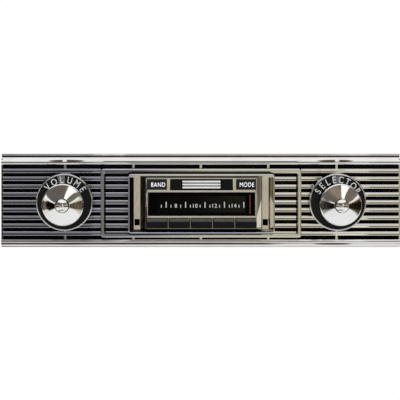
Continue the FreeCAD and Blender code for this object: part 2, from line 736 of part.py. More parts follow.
def rear_panel():
    panel = box(-chassis_half_w + 1.3, chassis_half_w - 1.3, chassis_y1, rear_face_y, -24.9, 23.9)
    tabs = []
    for s, z in rear_screws:
        x0, x1 = sorted((s * (chassis_half_w - 1.3 - sheet), s * (chassis_half_w - 1.3)))
        tabs.append(box(x0, x1, chassis_y1 - 9.0, chassis_y1 + 0.5, z - 4.5, z + 4.5))
    holes = [cyl_y(x, z, 1.5 + screw_gap, 125, 140) for x, z in sink_screws]
    holes.append(cyl_y(antenna_x, antenna_z, 6.1, 125, 140))
    holes.append(box(power_x - 11.1, power_x + 11.1, 125, 140, -17.1, -4.9))
    holes.append(cyl_y(fuse_x, antenna_z, 6.1, 125, 140))
    holes.append(cyl_y(stud_rear_x, stud_rear_z, 2.5 + 0.1, 125, 140))
    for s, z in rear_screws:
        holes.append(cyl_x(rear_screw_y, z, 1.5 + screw_gap, *sorted((s * 80, s * 95))))
    return cut(fuse([panel] + tabs), holes)


def heat_sink():
    base = box(sink_x0, sink_x1, rear_face_y, rear_face_y + 4.0, -22.0, 20.0)
    fins = []
    count = 14
    for i in range(count):
        x = sink_x0 + (sink_x1 - sink_x0 - 1.8) * i / (count - 1)
        fins.append(box(x, x + 1.8, rear_face_y + 3.5, rear_face_y + 18.0, -22.0, 20.0))
    body = fuse([base] + fins)
    holes = [cyl_y(x, z, 1.6, 120, 160) for x, z in sink_screws]
    holes += [cyl_y(x, z, 3.4, rear_face_y + 4.0, 160) for x, z in sink_screws]
    return cut(body, holes)


def rear_stud():
    """Support stud with a hexagon collar behind the panel and a flange inside it."""
    x, z = stud_rear_x, stud_rear_z
    stud = cyl_y(x, z, 2.5, chassis_y1 - 1.5, rear_face_y + 18.0)
    head = cyl_y(x, z, 4.5, chassis_y1 - 2.5, chassis_y1)
    nut = hexagon_y(x, z, 8.0, rear_face_y, rear_face_y + 4.0)
    return fuse([stud, head, nut])


def antenna_socket():
    """Coaxial socket: plug tube behind the panel, a flange against it and a closed body inside."""
    x, z = antenna_x, antenna_z
    y1 = rear_face_y + antenna_reach
    steps = [
        (0, chassis_y1 - 9.0), (6.0, chassis_y1 - 9.0), (6.0, rear_face_y), (7.6, rear_face_y),
        (7.6, rear_face_y + 1.5), (6.0, rear_face_y + 1.5), (6.0, y1), (antenna_bore_r, y1),
        (antenna_bore_r, rear_face_y + 1.0), (0, rear_face_y + 1.0),
    ]
    return turned(steps, x, z)


def power_connector():
    """Shrouded six-way plug body set in the rear panel."""
    body = box(power_x - 11, power_x + 11, chassis_y1 - 8, rear_face_y + 6, -17.0, -5.0)
    rim = box(power_x - 12.5, power_x + 12.5, rear_face_y, rear_face_y + 1.5, -18.5, -3.5)
    body = fuse([body, rim])
    tools = []
    for i in range(3):
        for k in range(2):
            x = power_x + (i - 1) * 6.6
            z = -11.0 + (k - 0.5) * 5.4
            tools.append(cyl_y(x, z, 1.3, rear_face_y - 4.0, rear_face_y + 7))
    return cut(body, tools)


def fuse_holder():
    x, z = fuse_x, antenna_z
    barrel = cyl_y(x, z, 6.0, chassis_y1 - 20.0, rear_face_y)
    cap = cyl_y(x, z, 7.5, rear_face_y, rear_face_y + 9.0)
    grip = [box(x - 8, x + 8, rear_face_y + 8.0, rear_face_y + 10, z - 0.8, z + 0.8)]
    return cut(fuse([barrel, cap]), grip)


def wiring_pigtail():
    """Six leads that leave the power plug, turn down and end in bare tips."""
    leads = []
    for i in range(3):
        for k in range(2):
            x = power_x + (i - 1) * 6.6
            z = -11.0 + (k - 0.5) * 5.4
            out_y = rear_face_y + 15.0 + (1 - k) * -5.0
            x2 = power_x + (i - 1) * 3.4
            path = [(x, rear_face_y - 3.9, z), (x, out_y, z), (x2, out_y + 0.5, -42.0 - 2.5 * i)]
            leads.append(wire_run(path, 1.1))
    return leads


def volume_cable():
    """Screened lead from the volume control to the chassis front wall."""
    x0 = -control_x + 8.0
    y = plate_back_y + 3.0
    path = [(x0, y, cable_z + 0.5), (cable_x, y, cable_z + 0.5), (cable_x, chassis_y0 + 8.0, cable_z + 0.5)]
    return wire_run(path, 1.6)


def main_board():
    board = box(-84.0, 84.0, 20.0, 121.5, board_z0, board_z0 + board_t)
    return cut(board, [cyl_z(x, y, 1.4, -20, -10) for x, y in board_screws])


def tuner_can():
    z = board_z0 + board_t
    can = box(-70.0, -20.0, 50.0, 95.0, z, z + 18.0)
    edges = [e for e in can.Edges if e.BoundBox.ZLength > 10]
    return can.makeFillet(1.5, edges).cut(Part.makeCompound([cyl_z(-60.0 + i * 10, 60.0, 2.0, z + 17, z + 20)
                                                            for i in range(4)]))


def filter_choke():
    """Iron-core choke: laminated core with a winding round its middle leg."""
    z = board_z0 + board_t
    core = box(40.0, 74.0, 80.0, 104.0, z, z + 26.0)
    windows = [box(46.0, 52.0, 79, 105, z + 6, z + 20), box(62.0, 68.0, 79, 105, z + 6, z + 20)]
    winding = box(46.2, 67.8, 76.0, 108.0, z + 6.2, z + 19.8)
    return fuse([cut(core, windows), winding])


def capacitors():
    z = board_z0 + board_t
    places = [(0.0, 60.0, 8.0, 28.0), (20.0, 60.0, 8.0, 28.0), (8.0, 90.0, 6.0, 22.0), (-60.0, 34.0, 4.0, 14.0),
              (-45.0, 34.0, 4.0, 14.0), (50.0, 40.0, 5.0, 18.0), (65.0, 40.0, 5.0, 18.0)]
    return [turned_can(x, y, r, z, h) for x, y, r, h in places]


def turned_can(x, y, r, z, h):
    """Can with a narrow waist near its foot."""
    waist_z = z + 2.4
    return fuse([cyl_z(x, y, r, z, waist_z), cyl_z(x, y, r - 0.5, waist_z, waist_z + 1.0),
                 cyl_z(x, y, r, waist_z + 1.0, z + h)])


def output_transistors():
    z = board_z0 + board_t
    return [box(x - 5, x + 5, 127.2, chassis_y1, z + 4, z + 19) for x in (-60.0, -40.0, -16.0, 4.0)]


# ---- fasteners ----
def front_screws():
    screws = [screw(x, z, 1.5, 2.8, plate_back_y, 1.6, -14.5) for x, z in panel_screws]
    screws += [screw(x, z, 1.5, 2.8, floor_back_y, 1.5, -16.0) for x, z in insert_screws]
    screws += [screw(x, z, 1.5, 2.4, plate_back_y, 1.6, -9.0) for x, z in nose_screws]
    screws += [screw(x, z, 1.5, 2.3, floor_front_y, 0.9, -20.0) for x, z in bezel_screws]
    screws += [screw(x, z, 1.5, 2.8, -4.0, 1.6, -7.0) for x, z in housing_screws]
    screws += [screw(x, z, 1.5, 2.8, -3.5, 1.6, -7.0) for x, z in guide_screws]
    return screws


def chassis_screws():
    screws = [screw(x, z, 1.5, 2.8, floor_back_y, -1.6, 2.0) for x, z in standoffs]
    screws += [screw(x, z, 1.5, 2.8, chassis_y0 + sheet, 1.6, 8.0) for x, z in standoffs]
    screws += [screw(x, z, 1.5, 2.8, rear_face_y + 4.0, 1.6, chassis_y1 - 4.0) for x, z in sink_screws]
    for s in sides:
        for y in cover_screw_y:
            x0 = s * (chassis_half_w + sheet)
            head = cyl_x(y, cover_screw_z, 2.8, *sorted((x0, x0 + s * 1.6)))
            shank = cyl_x(y, cover_screw_z, 1.5, *sorted((x0, x0 - s * 5)))
            screws.append(fuse([head, shank]))
    for s, z in rear_screws:
        x0 = s * chassis_half_w
        head = cyl_x(rear_screw_y, z, 2.8, *sorted((x0, x0 + s * 1.6)))
        screws.append(fuse([head, cyl_x(rear_screw_y, z, 1.5, *sorted((x0, x0 - s * 5)))]))
    top = board_z0 + board_t
    for x, y in board_screws:
        screws.append(fuse([cyl_z(x, y, 2.4, top, top + 1.5), cyl_z(x, y, 1.25, top - 6.0, top)]))
    return screws


# ---- every node ----
save("trim_panel", trim_panel())
save("insert_plate", insert_plate())
save("bezel", bezel())
save("nose_frame", nose_frame())
save("dial_lens", dial_lens())
save("dial_plate", dial_plate())
save("dial_housing", dial_housing())
save("dial_lamps", dial_lamps())
save("emblem_plate", emblem_plate())
save("emblem_bars", emblem_bars())
save("band_button", function_button(-1))
save("mode_button", function_button(1))
save("function_board", function_board())
save("function_switches", function_switches())
for number, place in enumerate(preset_x, 1):
    save("preset_button_%d" % number, preset_button(place))
save("preset_springs", [preset_spring(x) for x in preset_x])
save("button_guide", button_guide())
save("preset_board", preset_board())
save("preset_switches", preset_switches())
for name, place in controls.items():
    save(name + "_ring", control_ring(place))
    save(name + "_knob", control_knob(place))
save("volume_shaft", control_shaft(-control_x, -3.2))
save("selector_shaft", control_shaft(control_x, cord_y + drum_half_t + 1.0))
save("control_nuts", [control_nut(x) for x in controls.values()])
save("control_washers", [control_washer(x) for x in controls.values()])
save("volume_control", volume_control())
save("selector_bearing", selector_bearing())
save("drive_drum", grooved_wheel(control_x, shaft_r + 0.02))
save("idler_pulley", grooved_wheel(idler_x, 1.5 + run_gap))
save("idler_pin", idler_pin())
save("dial_cord", dial_cord())
save("carriage_rail", carriage_rail())
save("rail_brackets", rail_brackets())
save("pointer_carriage", pointer_carriage())
save("pointer", pointer())
save("mounting_plate", mounting_plate())
save("standoffs", [standoff(x, z) for x, z in standoffs])
save("chassis_tray", chassis_tray())
save("chassis_cover", chassis_cover())
save("rear_panel", rear_panel())
save("heat_sink", heat_sink())
save("rear_stud", rear_stud())
save("antenna_socket", antenna_socket())
save("power_connector", power_connector())
save("fuse_holder", fuse_holder())
save("wiring_pigtail", wiring_pigtail())
save("volume_cable", volume_cable())
save("main_board", main_board())
save("tuner_can", tuner_can())
save("filter_choke", filter_choke())
save("capacitors", capacitors())
save("output_transistors", output_transistors())
save("front_screws", front_screws())
save("chassis_screws", chassis_screws())
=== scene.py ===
"""Looks of the dash-panel car radio: rounded edges, plated and painted surfaces, print, light and camera."""
import math
import bmesh
import bpy
from mathutils import Matrix, Vector
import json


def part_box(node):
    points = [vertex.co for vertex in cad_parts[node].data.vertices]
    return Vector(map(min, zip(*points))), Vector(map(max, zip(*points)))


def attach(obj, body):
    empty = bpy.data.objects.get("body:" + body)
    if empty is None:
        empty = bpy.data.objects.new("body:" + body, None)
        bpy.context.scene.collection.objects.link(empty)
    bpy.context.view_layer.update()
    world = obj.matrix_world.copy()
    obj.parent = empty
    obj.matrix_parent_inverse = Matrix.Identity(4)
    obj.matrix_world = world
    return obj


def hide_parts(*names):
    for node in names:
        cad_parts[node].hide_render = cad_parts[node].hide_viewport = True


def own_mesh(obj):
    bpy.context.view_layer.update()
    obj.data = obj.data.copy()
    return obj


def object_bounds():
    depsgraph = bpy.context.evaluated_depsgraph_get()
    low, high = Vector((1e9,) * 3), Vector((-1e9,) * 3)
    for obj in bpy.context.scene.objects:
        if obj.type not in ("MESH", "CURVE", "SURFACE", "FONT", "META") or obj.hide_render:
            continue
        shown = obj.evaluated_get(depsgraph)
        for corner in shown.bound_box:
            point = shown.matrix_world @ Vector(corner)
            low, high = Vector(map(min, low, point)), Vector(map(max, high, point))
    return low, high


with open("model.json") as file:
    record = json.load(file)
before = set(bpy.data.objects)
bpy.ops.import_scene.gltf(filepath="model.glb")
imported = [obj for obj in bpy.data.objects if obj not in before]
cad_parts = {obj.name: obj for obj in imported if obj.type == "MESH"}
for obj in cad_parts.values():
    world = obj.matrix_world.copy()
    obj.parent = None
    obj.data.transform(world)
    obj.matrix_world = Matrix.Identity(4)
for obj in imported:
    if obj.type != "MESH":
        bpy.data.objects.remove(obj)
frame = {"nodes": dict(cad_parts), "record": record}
cad_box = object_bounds()
nodes = frame["nodes"]
MM = 0.001
body_names = {n: b for b, members in frame["record"]["behaviour"]["bodies"].items() for n in members}


def box_mm(node):
    """Lowest and highest corner of a CAD node, in millimetres."""
    low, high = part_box(node)
    return low / MM, high / MM


# Places on the front, in millimetres. The first four are the CAD's, and no node's box gives them.
RIB_PITCH = 7.88
PANEL_FRONT = -18.0     # y of the ribs' front faces
FIELD_HALF = 37.5       # half height of the ribbed field, between the mouldings
NOSE_OPENING = 54.3     # half width between the nose's side walls
ring_low, ring_high = box_mm("volume_ring")
control_x = abs(ring_low.x + ring_high.x) / 2       # both controls lie this far from the middle
control_z = (ring_low.z + ring_high.z) / 2
knob_tip = box_mm("volume_knob")[0].y
lip_front = box_mm("bezel")[0].y
key_top = box_mm("preset_button_1")[1].z


# ---------------------------------------------------------------- materials
class Tree:
    """A material's or the world's node tree, with one short call per node."""

    def __init__(self, owner):
        owner.use_nodes = True
        self.tree = owner.node_tree
        self.tree.nodes.clear()

    def add(self, kind, settings=None, **inputs):
        node = self.tree.nodes.new(kind)
        for key, value in (settings or {}).items():
            setattr(node, key, value)
        for key, value in inputs.items():
            self.put(node.inputs[key.replace("_", " ")], value)
        return node

    def put(self, socket, value):
        if isinstance(value, bpy.types.NodeSocket):
            self.tree.links.new(value, socket)
        elif isinstance(value, tuple) and len(value) == 3 and socket.type == "RGBA":
            socket.default_value = (*value, 1.0)
        else:
            socket.default_value = value

    def math(self, operation, a, b=0.0, c=0.0):
        node = self.add("ShaderNodeMath", {"operation": operation})
        for i, value in enumerate((a, b, c)):
            self.put(node.inputs[i], value)
        return node.outputs[0]

    def product(self, first, *others):
        for value in others:
            first = self.math("MULTIPLY", first, value)
        return first

    def largest(self, first, *others):
        for value in others:
            first = self.math("MAXIMUM", first, value)
        return first

    def off(self, value, centre=0.0):
        """How far a value is from centre, on either side."""
        return self.math("ABSOLUTE", self.math("SUBTRACT", value, centre))

    def length(self, a, b):
        """Length of a vector with parts a and b."""
        return self.math("SQRT", self.math("ADD", self.math("MULTIPLY", a, a), self.math("MULTIPLY", b, b)))

    def span(self, value, low, high, to_low=0.0, to_high=1.0):
        """Smooth step of a value from low to high."""
        node = self.add("ShaderNodeMapRange", {"interpolation_type": "SMOOTHSTEP"})
        for i, item in enumerate((value, low, high, to_low, to_high)):
            self.put(node.inputs[i], item)
        return node.outputs[0]

    def rise(self, value, place, soft):
        """0 to 1 as a value passes a place, over soft on each side of it."""
        return self.span(value, place - soft, place + soft)

    def fall(self, value, place, soft, high=1.0):
        """high to 0 as a value passes a place, over soft on each side of it."""
        return self.span(value, place + soft, place - soft, 0.0, high)

    def window(self, value, start, full, last, end):
        """0 up to start, 1 from full to last, and 0 again from end on, with smooth steps between."""
        return self.product(self.span(value, start, full), self.span(value, end, last))

    def mix(self, factor, a, b):
        node = self.add("ShaderNodeMix", {"data_type": "RGBA"})
        self.put(node.inputs[0], factor)
        self.put(node.inputs[6], a)
        self.put(node.inputs[7], b)
        return node.outputs[2]

    def split(self, vector, scale=1.0):
        """The three parts of a vector, each times scale."""
        parts = self.add("ShaderNodeSeparateXYZ", Vector=vector).outputs
        return [self.math("MULTIPLY", part, scale) for part in parts]

    def place(self):
        """Coordinates in the object's own space: the vector in metres, and its three parts in millimetres."""
        socket = self.add("ShaderNodeTexCoord").outputs["Object"]
        return (socket, *self.split(socket, 1 / MM))

    def noise(self, place, scale, detail=3.0, stretch=None):
        if stretch:
            place = self.add("ShaderNodeMapping", Vector=place, Scale=stretch).outputs[0]
        node = self.add("ShaderNodeTexNoise", Vector=place, Scale=scale, Detail=detail, Roughness=0.55)
        return node.outputs[0]

    def bump(self, height, strength, distance, normal=None):
        node = self.add("ShaderNodeBump", Height=height, Strength=strength, Distance=distance)
        if normal is not None:
            self.put(node.inputs["Normal"], normal)
        return node.outputs[0]

    def end(self, shader):
        out = self.add("ShaderNodeOutputMaterial")
        self.tree.links.new(shader, out.inputs["Surface"])

    def surface(self, **inputs):
        return self.add("ShaderNodeBsdfPrincipled", **inputs).outputs[0]

    def blend(self, factor, a, b):
        node = self.add("ShaderNodeMixShader")
        self.put(node.inputs[0], factor)
        self.put(node.inputs[1], a)
        self.put(node.inputs[2], b)
        return node.outputs[0]


def named(name):
    made = bpy.data.materials.new(name)
    return made, Tree(made)


# Dark colour of painted reflections in the plating, also used for real scuffs on the bezel's strips.
PAINTED_REFLECTION_AND_SCUFF = (0.075, 0.062, 0.055)


def chrome(name, tint, rough, painted=None, wave=0.05, shaded=None, toned=None, darker=PAINTED_REFLECTION_AND_SCUFF):
    """Bright plating: faint waviness, fine rub marks and dust.

    Three functions of the place on the piece can change it. painted gives a mask of black paint, which on the
    bezel's top side stands for a painted dark reflection. shaded gives a mask of painted dark reflection and
    shade, and on the bezel also of real scuffs, in the given dark colour. toned gives the plating a new
    colour, a painted reflection or highlight.
    """
    made, t = named(name)
    place, x, y, z = t.place()
    broad = t.noise(place, 45.0, 2.0)
    marks = t.noise(place, 900.0, 4.0, (1.0, 1.0, 6.0))
    dust = t.span(t.noise(place, 2600.0, 2.0), 0.66, 0.76)
    roughness = t.math("MULTIPLY_ADD", t.span(marks, 0.5, 0.75), 0.05, rough)
    roughness = t.math("MULTIPLY_ADD", dust, 0.10, roughness)
    colour = t.mix(t.span(broad, 0.35, 0.65), tint, tuple(c * 0.93 for c in tint))
    if toned is not None:
        # The plating's colour changed by place: a painted reflection or highlight.
        colour = toned(t, x, y, z, colour)
    if shaded is not None:
        # Painted dark reflection and shade, and the bezel's real scuffs, mixed into the colour.
        colour = t.mix(shaded(t, x, y, z, place), colour, darker)
    normal = t.bump(broad, wave, 0.002)
    normal = t.bump(marks, 0.02, 0.0002, normal)
    plated = t.surface(Base_Color=colour, Metallic=1.0, Roughness=roughness, Normal=normal)
    if painted is None:
        t.end(plated)
        return made
    grain = t.noise(place, 1800.0, 3.0)
    paint_normal = t.bump(grain, 0.08, 0.0003)
    paint_colour = t.mix(grain, (0.003, 0.003, 0.004), (0.006, 0.006, 0.007))
    paint = t.surface(Base_Color=paint_colour, Roughness=0.55, Normal=paint_normal, Specular_IOR_Level=0.2)
    t.end(t.blend(painted(t, x, y, z), plated, paint))
    return made


def plastic(name, dark, light, rough, grain_scale=1500.0, grain=0.15, shine=0.5):
    """Moulded plastic: fine spark-eroded texture, slight colour drift, a few lighter rub marks."""
    made, t = named(name)
    place = t.place()[0]
    fine = t.noise(place, grain_scale, 3.0)
    drift = t.noise(place, 60.0, 2.0)
    rub = t.span(t.noise(place, 300.0, 5.0, (1.0, 1.0, 0.2)), 0.62, 0.78)
    colour = t.mix(drift, dark, light)
    roughness = t.math("MULTIPLY_ADD", rub, 0.12, rough)
    normal = t.bump(fine, grain, 0.0002)
    t.end(t.surface(Base_Color=colour, Roughness=roughness, Normal=normal, Specular_IOR_Level=shine))
    return made


def key_plastic():
    """Satin black moulding of the keys; their slanted tops are painted lighter, a painted highlight, and show
    the grain.
    """
    made, t = named("key_black")
    place, x, y, z = t.place()
    fine = t.noise(place, 1300.0, 3.0)
    normal = t.split(t.add("ShaderNodeNewGeometry").outputs["Normal"])
    strip = t.rise(z, key_top - 2.7, 0.7)
    # Painted highlight: the upward-facing slanted tops are lighter, as if lit from above.
    top = t.product(t.span(normal[2], 0.12, 0.30), strip, t.span(fine, 0.30, 0.70, 0.30, 1.0))
    colour = t.mix(fine, (0.003, 0.003, 0.0035), (0.007, 0.007, 0.008))
    colour = t.mix(top, colour, (0.085, 0.083, 0.080))
    shine = t.math("MULTIPLY_ADD", strip, 0.25, 0.12)
    grain = t.bump(fine, 0.6, 0.0002)
    t.end(t.surface(Base_Color=colour, Roughness=0.36, Specular_IOR_Level=shine, Normal=grain))
    return made


def sheet_metal(name, tint, rough=0.32, stretch=(1.0, 8.0, 8.0), metallic=1.0):
    """Plated or drawn metal: spangle, rolling lines, and small dull spots."""
    made, t = named(name)
    place = t.place()[0]
    rolling = t.noise(place, 500.0, 4.0, stretch)
    cells = t.add("ShaderNodeTexVoronoi", Vector=place, Scale=160.0).outputs["Color"]
    spangle = t.add("ShaderNodeSeparateColor", Color=cells).outputs[0]
    spots = t.span(t.noise(place, 90.0, 5.0), 0.60, 0.72)
    colour = t.mix(t.math("MULTIPLY", spangle, 0.35), tint, tuple(min(1.0, c * 1.25) for c in tint))
    colour = t.mix(t.math("MULTIPLY", spots, 0.4), colour, tuple(c * 0.6 for c in tint))
    roughness = t.math("MULTIPLY_ADD", rolling, 0.15, rough - 0.07)
    roughness = t.math("MULTIPLY_ADD", spots, 0.2, roughness)
    normal = t.bump(rolling, 0.08, 0.0002)
    t.end(t.surface(Base_Color=colour, Metallic=metallic, Roughness=roughness, Normal=normal))
    return made


# The functions below say where a chrome piece is painted, shaded or toned. Their lengths are in millimetres.
def recess_paint(t, x, y, z):
    """Black paint in the slots of the ribbed field: below the rib fronts and between the mouldings."""
    end_wall = box_mm("trim_panel")[1].x - 0.7
    deep = t.rise(y, PANEL_FRONT + 1.2, 0.2)
    return t.product(deep, t.fall(t.off(z), FIELD_HALF, 0.1), t.fall(t.off(x), end_wall, 0.1))


def bezel_top_painted_reflection(t, x, y, z):
    """Painted dark reflection: black paint on the outer top side of the bezel, behind its lip."""
    top = box_mm("bezel")[1].z
    return t.product(t.rise(y, lip_front + 1.0, 0.2), t.rise(z, top - 0.3, 0.1))


def rib_painted_reflection(t, x, y, z, colour):
    """Painted reflection on the ribs: towards the left end dark and cool with pale edges, on the right bright
    and a little warm.
    """
    turn = t.math("FRACT", t.math("ADD", t.math("DIVIDE", z, RIB_PITCH), 10.5))
    edge = t.span(t.math("MULTIPLY", t.off(turn, 0.5), RIB_PITCH), 1.15, 1.50)
    left = t.mix(edge, (0.19, 0.192, 0.215), (0.62, 0.63, 0.70))
    right = t.mix(edge, (0.78, 0.765, 0.68), (0.84, 0.83, 0.78))
    # Painted reflection: greyer where the insert's uprights stand, on the left.
    insert_upright = t.window(t.off(x), 96.4, 96.7, 101.0, 101.3)
    left = t.mix(insert_upright, left, (0.46, 0.47, 0.51))
    ribs = t.mix(t.span(x, -85.0, 30.0), left, right)
    return t.mix(t.fall(t.off(z), FIELD_HALF, 0.3), colour, ribs)


def lip_painted_reflection(t, x, y, z, colour):
    """Bezel: painted cool reflection along its left and bottom lips, warm plating elsewhere."""
    low, high = box_mm("bezel")
    left = t.fall(x, low.x + 3.0, 0.6)
    bottom = t.product(t.fall(z, low.z + 2.5, 0.5), t.fall(x, high.x - 25.0, 25.0))
    return t.mix(t.largest(left, bottom), colour, (0.60, 0.66, 0.90))


def oval(t, x, z, centre_x, centre_z, flatness):
    """Distance from a point in each half of the panel, where heights count flatness times over."""
    across = t.math("SUBTRACT", t.off(x), centre_x)
    up = t.math("MULTIPLY", t.math("SUBTRACT", z, centre_z), flatness)
    return t.length(across, up)


def moulding_shade(t, x, y, z, place):
    """Painted dark reflections in the mouldings: lines along both of them, and ovals over and under the knobs.
    """
    groove = t.product(t.window(z, 44.7, 45.2, 46.7, 47.1), t.span(y, -15.2, -14.8))
    over_insert = t.product(t.window(z, 40.4, 40.9, 41.3, 41.8), t.span(t.off(x), 101.0, 96.0, 0.0, 0.8))
    over_knobs = t.span(oval(t, x, z, control_x - 1.5, 41.6, 17.0), 20.5, 15.5)
    # A narrow bright break in the painted dark reflection over each knob.
    bright_break = t.span(t.off(t.off(x), control_x + 0.5), 1.0, 3.0)
    over_knobs = t.product(over_knobs, bright_break)
    under_knobs = t.span(oval(t, x, z, control_x - 4.0, -42.1, 19.0), 21.5, 16.5)
    low_line = t.product(t.window(z, -43.4, -42.5, -41.6, -40.5), t.span(x, 90.0, 60.0, 0.0, 0.96))
    left_line = t.product(t.window(z, -39.8, -39.3, -38.0, -37.4), t.span(x, -70.0, -100.0, 0.0, 0.70))
    return t.largest(groove, over_insert, over_knobs, under_knobs, low_line, left_line)


def bezel_shade(t, x, y, z, place):
    """Painted dark reflection on the left and bottom inner walls of the bezel, and scuffs on its flat strips.
    """
    low = box_mm("bezel")[0]
    left = t.window(x, low.x + 1.0, low.x + 1.4, low.x + 5.2, low.x + 5.6)
    bottom = t.product(t.fall(z, low.z + 2.0, 0.2), t.fall(x, 62.0, 2.0))
    streak = t.span(t.noise(place, 70.0, 3.0, (3.0, 1.0, 0.4)), 0.30, 0.60, 0.75, 1.0)
    walls = t.product(t.largest(left, bottom), t.rise(y, lip_front + 0.5, 0.3), streak)
    scuffs = t.span(t.noise(place, 420.0, 4.0, (3.0, 1.0, 0.22)), 0.56, 0.66, 0.0, 0.42)
    return t.largest(walls, t.product(scuffs, t.window(y, -25.0, -24.5, -23.5, -22.5)))


def lit_corner(t, x, z):
    """Lower corner of the nose's right wall, below a steep line."""
    slope = t.math("MULTIPLY_ADD", t.math("SUBTRACT", x, NOSE_OPENING + 0.2), -3.2, z)
    return t.product(t.span(slope, -11.0, -15.0), t.span(x, 0.0, 1.0))


def nose_shade(t, x, y, z, place):
    """Painted shade and dark reflection on the nose's side walls, but for the lit corner, and on the bars
    between the keys.
    """
    streak = t.span(t.noise(place, 60.0, 3.0, (4.0, 1.0, 0.3)), 0.35, 0.65, 0.65, 1.0)
    unlit = t.math("SUBTRACT", 1.0, lit_corner(t, x, z))
    walls = t.product(t.rise(y, lip_front + 0.6, 0.3), t.rise(t.off(x), NOSE_OPENING, 0.3), streak, unlit)
    bars = t.product(t.fall(z, key_top - 0.4, 0.4), t.fall(t.off(x), NOSE_OPENING + 0.2, 0.3, 0.70))
    return t.largest(walls, bars)


def nose_painted_highlight(t, x, y, z, colour):
    """Painted highlight: the lit corner is paler than the plating round it."""
    corner = t.product(t.rise(y, lip_front + 0.6, 0.3), t.rise(x, NOSE_OPENING, 0.3), lit_corner(t, x, z))
    return t.mix(corner, colour, (1.0, 1.0, 0.98))


def knob_shade(t, x, y, z, place):
    """Painted dark reflection on the sides of a knob's cone, which keeps its place while it turns, and painted
    shade round its boss.
    """
    spot_x, spot_y, spot_z = t.split(t.add("ShaderNodeNewGeometry").outputs["Position"], 1 / MM)
    dx = t.math("SUBTRACT", t.off(spot_x), control_x)
    dz = t.math("SUBTRACT", spot_z, control_z)
    distance = t.length(dx, dz)
    foot = t.product(t.window(distance, 6.1, 6.4, 7.0, 7.4), t.span(t.off(dx, 1.0), 1.0, 3.0, 0.35, 1.0))
    slant = t.math("DIVIDE", t.off(dz, -0.2), t.math("MAXIMUM", t.off(dx), 1.0))
    ripple = t.noise(spot_x, 0.26, 3.0)
    sector = t.span(slant, t.math("MULTIPLY_ADD", ripple, 0.08, 0.25), 0.22)
    streak = t.span(t.noise(place, 420.0, 3.0, (1.0, 1.0, 0.25)), 0.38, 0.62, 0.84, 1.0)
    cone = t.product(sector, t.window(distance, 7.2, 8.0, 19.8, 20.6), streak)
    return t.product(t.largest(foot, cone), t.fall(spot_y, knob_tip + 8.3, 0.3))


def lit_print(name, dark, light, glow):
    """Screen-printed ink that glows a little, painted light, since it lies deep in the window's shade."""
    made, t = named(name)
    speck = t.noise(t.place()[0], 3000.0, 3.0)
    colour = t.mix(speck, dark, light)
    t.end(t.surface(Base_Color=colour, Roughness=0.5, Specular_IOR_Level=0.1, Emission_Color=colour,
                    Emission_Strength=glow, Normal=t.bump(speck, 0.1, 0.0002)))
    return made


def dial_face():
    """Matt black dial with a faintly lighter printed field, warmer towards its right end, all shown as a faint
    glow: painted light.
    """
    made, t = named("dial_face")
    place, x, y, z = t.place()
    speck = t.noise(place, 1400.0, 3.0)
    field = t.product(t.window(x, -43.6, -43.0, 44.0, 44.6), t.window(z, -9.9, -9.3, 6.6, 7.2))
    base = t.mix(speck, (0.0020, 0.0020, 0.0020), (0.0035, 0.0035, 0.0035))
    printed = t.mix(t.span(x, -20.0, 50.0), (0.0050, 0.0046, 0.0040), (0.0170, 0.0160, 0.0110))
    t.end(t.surface(Base_Color=(0.002, 0.002, 0.002), Roughness=0.9, Specular_IOR_Level=0.02,
                    Emission_Color=t.mix(field, base, printed), Emission_Strength=1.0))
    return made


def pointer_paint():
    """Red-brown needle with a faint glow, painted light. Its upper end, behind the window's edge, is black."""
    made, t = named("pointer_paint")
    place, x, y, z = t.place()
    streak = t.noise(place, 1200.0, 3.0, (1.0, 1.0, 0.2))
    red = t.mix(streak, (0.20, 0.055, 0.036), (0.28, 0.080, 0.054))
    colour = t.mix(t.rise(z, 8.6, 0.2), red, (0.004, 0.004, 0.004))
    t.end(t.surface(Base_Color=colour, Roughness=0.45, Specular_IOR_Level=0.1, Emission_Color=colour,
                    Emission_Strength=0.45, Normal=t.bump(streak, 0.2, 0.0001)))
    return made


def smoked_window():
    """Smoked clear plastic: darkens what is behind it and shines at a slant."""
    made, t = named("smoked_window")
    wipe = t.noise(t.place()[0], 200.0, 4.0, (1.0, 1.0, 5.0))
    see = t.add("ShaderNodeBsdfTransparent", Color=(0.80, 0.80, 0.79)).outputs[0]
    gloss = t.add("ShaderNodeBsdfGlossy", Color=(0.8, 0.8, 0.8),
                  Roughness=t.span(wipe, 0.4, 0.8, 0.02, 0.10)).outputs[0]
    facing = t.math("MULTIPLY", t.add("ShaderNodeFresnel", IOR=1.33).outputs[0], 0.5)
    facing = t.math("MAXIMUM", t.math("SUBTRACT", facing, 0.0125), 0.0)
    t.end(t.blend(facing, see, gloss))
    return made


def clear_glass():
    """Lamp bulbs: clear glass, with a metal cap behind."""
    made, t = named("bulb_glass")
    place, x, y, z = t.place()
    see = t.add("ShaderNodeBsdfTransparent", Color=(0.9, 0.85, 0.75)).outputs[0]
    gloss = t.add("ShaderNodeBsdfGlossy", Roughness=0.03).outputs[0]
    wear = t.span(t.noise(place, 800.0), 0.3, 0.7, 0.15, 0.35)
    cap = t.surface(Base_Color=(0.7, 0.68, 0.6), Metallic=1.0, Roughness=wear)
    t.end(t.blend(t.rise(y, -8.0, 0.1), t.blend(0.25, see, gloss), cap))
    return made


def cord_fibre():
    """Braided cord: slanted strands along its run."""
    made, t = named("cord_fibre")
    place, x, y, z = t.place()
    strand = t.math("SINE", t.math("MULTIPLY_ADD", x, 9.0, t.math("MULTIPLY", z, 5.0)))
    colour = t.mix(t.span(strand, -0.6, 0.6), (0.10, 0.07, 0.04), (0.30, 0.23, 0.14))
    t.end(t.surface(Base_Color=colour, Roughness=0.8, Normal=t.bump(strand, 0.4, 0.0001)))
    return made


